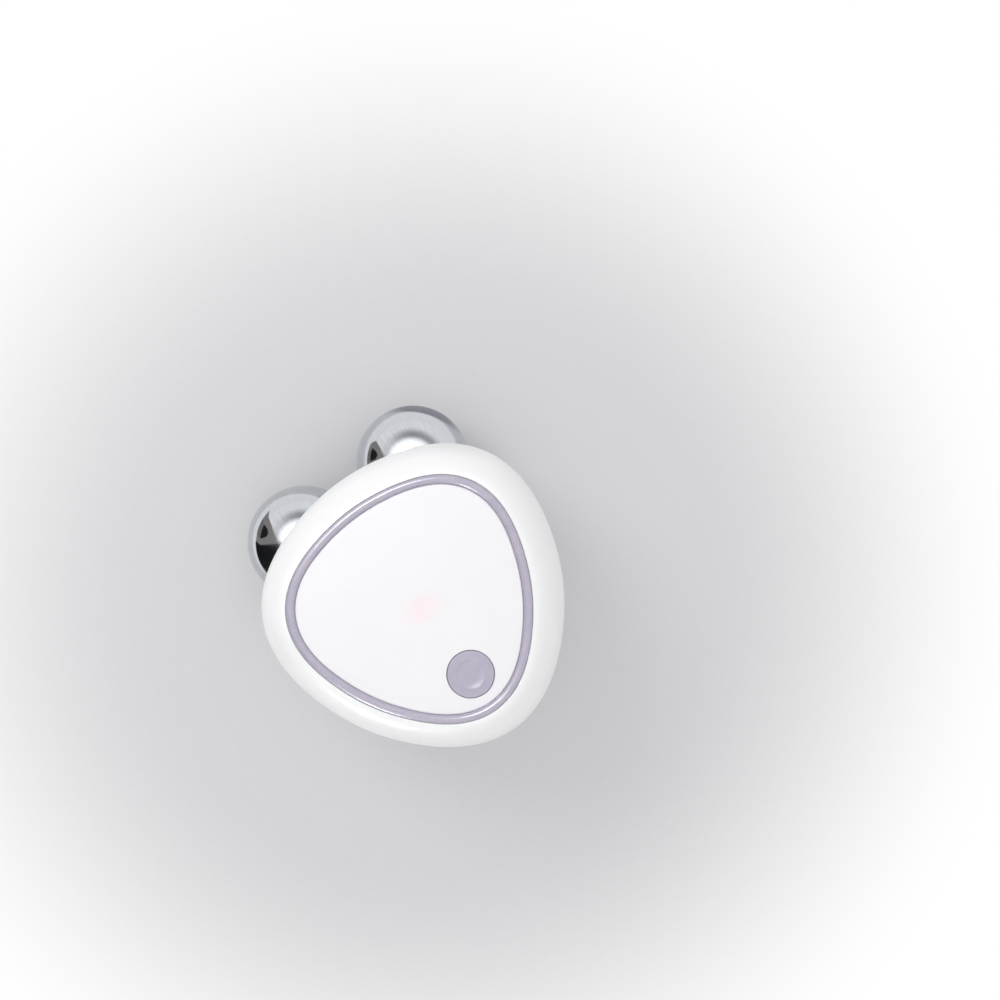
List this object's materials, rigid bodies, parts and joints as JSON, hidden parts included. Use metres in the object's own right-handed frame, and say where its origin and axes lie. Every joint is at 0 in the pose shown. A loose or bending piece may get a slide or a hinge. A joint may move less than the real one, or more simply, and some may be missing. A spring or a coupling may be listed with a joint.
{
  "type": "facial toning device",
  "caption": "Palm-size facial toning device: rounded-triangle white housing, lilac trim ring and push button on a flat face, chrome electrode balls seated under the front edge.",
  "frame": {"origin": "on the surface that the device rests on, at the belly's flat pad, on the axis of the housing's outline", "axes": "+Z out of the face, +Y from the button's end to the electrode balls, +X to the right seen from the face with the balls up"},
  "size_m": [0.0638, 0.0709, 0.0446],
  "materials": {
    "shell_white": "satin white moulded plastic",
    "face_white": "satin translucent white moulded plastic",
    "lilac": "glossy pale lilac moulded plastic",
    "ball_chrome": "polished chrome plate",
    "grey_rubber": "soft grey seal",
    "steel": "zinc-plated steel",
    "brass": "tinned brass",
    "board_green": "green solder mask",
    "black_plastic": "matte black moulding",
    "connector_ivory": "ivory nylon",
    "battery_foil": "silver laminate pouch",
    "foam": "closed-cell foam tape",
    "wire_white": "white insulation",
    "wire_red": "red insulation",
    "wire_black": "black insulation",
    "ferrite": "grey ferrite",
    "ceramic": "tan ceramic",
    "led_pink": "tinted clear resin",
    "guide_clear": "milky clear resin"
  },
  "bodies": {
    "housing": {"upper_shell": "shell_white", "lower_shell": "shell_white", "trim_ring": "lilac", "face_plate": "face_white", "switch_body": "black_plastic", "ball_left": "ball_chrome", "ball_right": "ball_chrome", "ball_gaskets": "grey_rubber", "ball_screws": "steel", "ball_lugs": "brass", "electrode_leads": "wire_white", "circuit_board": "board_green", "board_screws": "steel", "case_screws": "steel", "screw_caps": "shell_white", "charge_socket": "steel", "battery_cell": "battery_foil", "battery_pad": "foam", "lead_red": "wire_red", "lead_black": "wire_black", "battery_plug": "connector_ivory", "battery_header": "connector_ivory", "control_chip": "black_plastic", "driver_chip": "black_plastic", "charge_chip": "black_plastic", "boost_inductor": "ferrite", "capacitors": "ceramic", "indicator_led": "led_pink", "light_guide": "guide_clear"},
    "button": {"power_button": "lilac"},
    "plunger": {"switch_plunger": "black_plastic"}
  },
  "joints": [
    {"name": "button_press", "type": "slide", "parent": "housing", "child": "button", "axis": [0, 0, -1], "range_m": [0, 0.0003], "stiffness_N_per_m": 1000},
    {"name": "plunger_travel", "type": "slide", "parent": "housing", "child": "plunger", "axis": [0, 0, -1], "range_m": [0, 0.0003]}
  ],
  "couplings": [
    {"joint": "plunger_travel", "follows": "button_press", "ratio": 1}
  ]
}
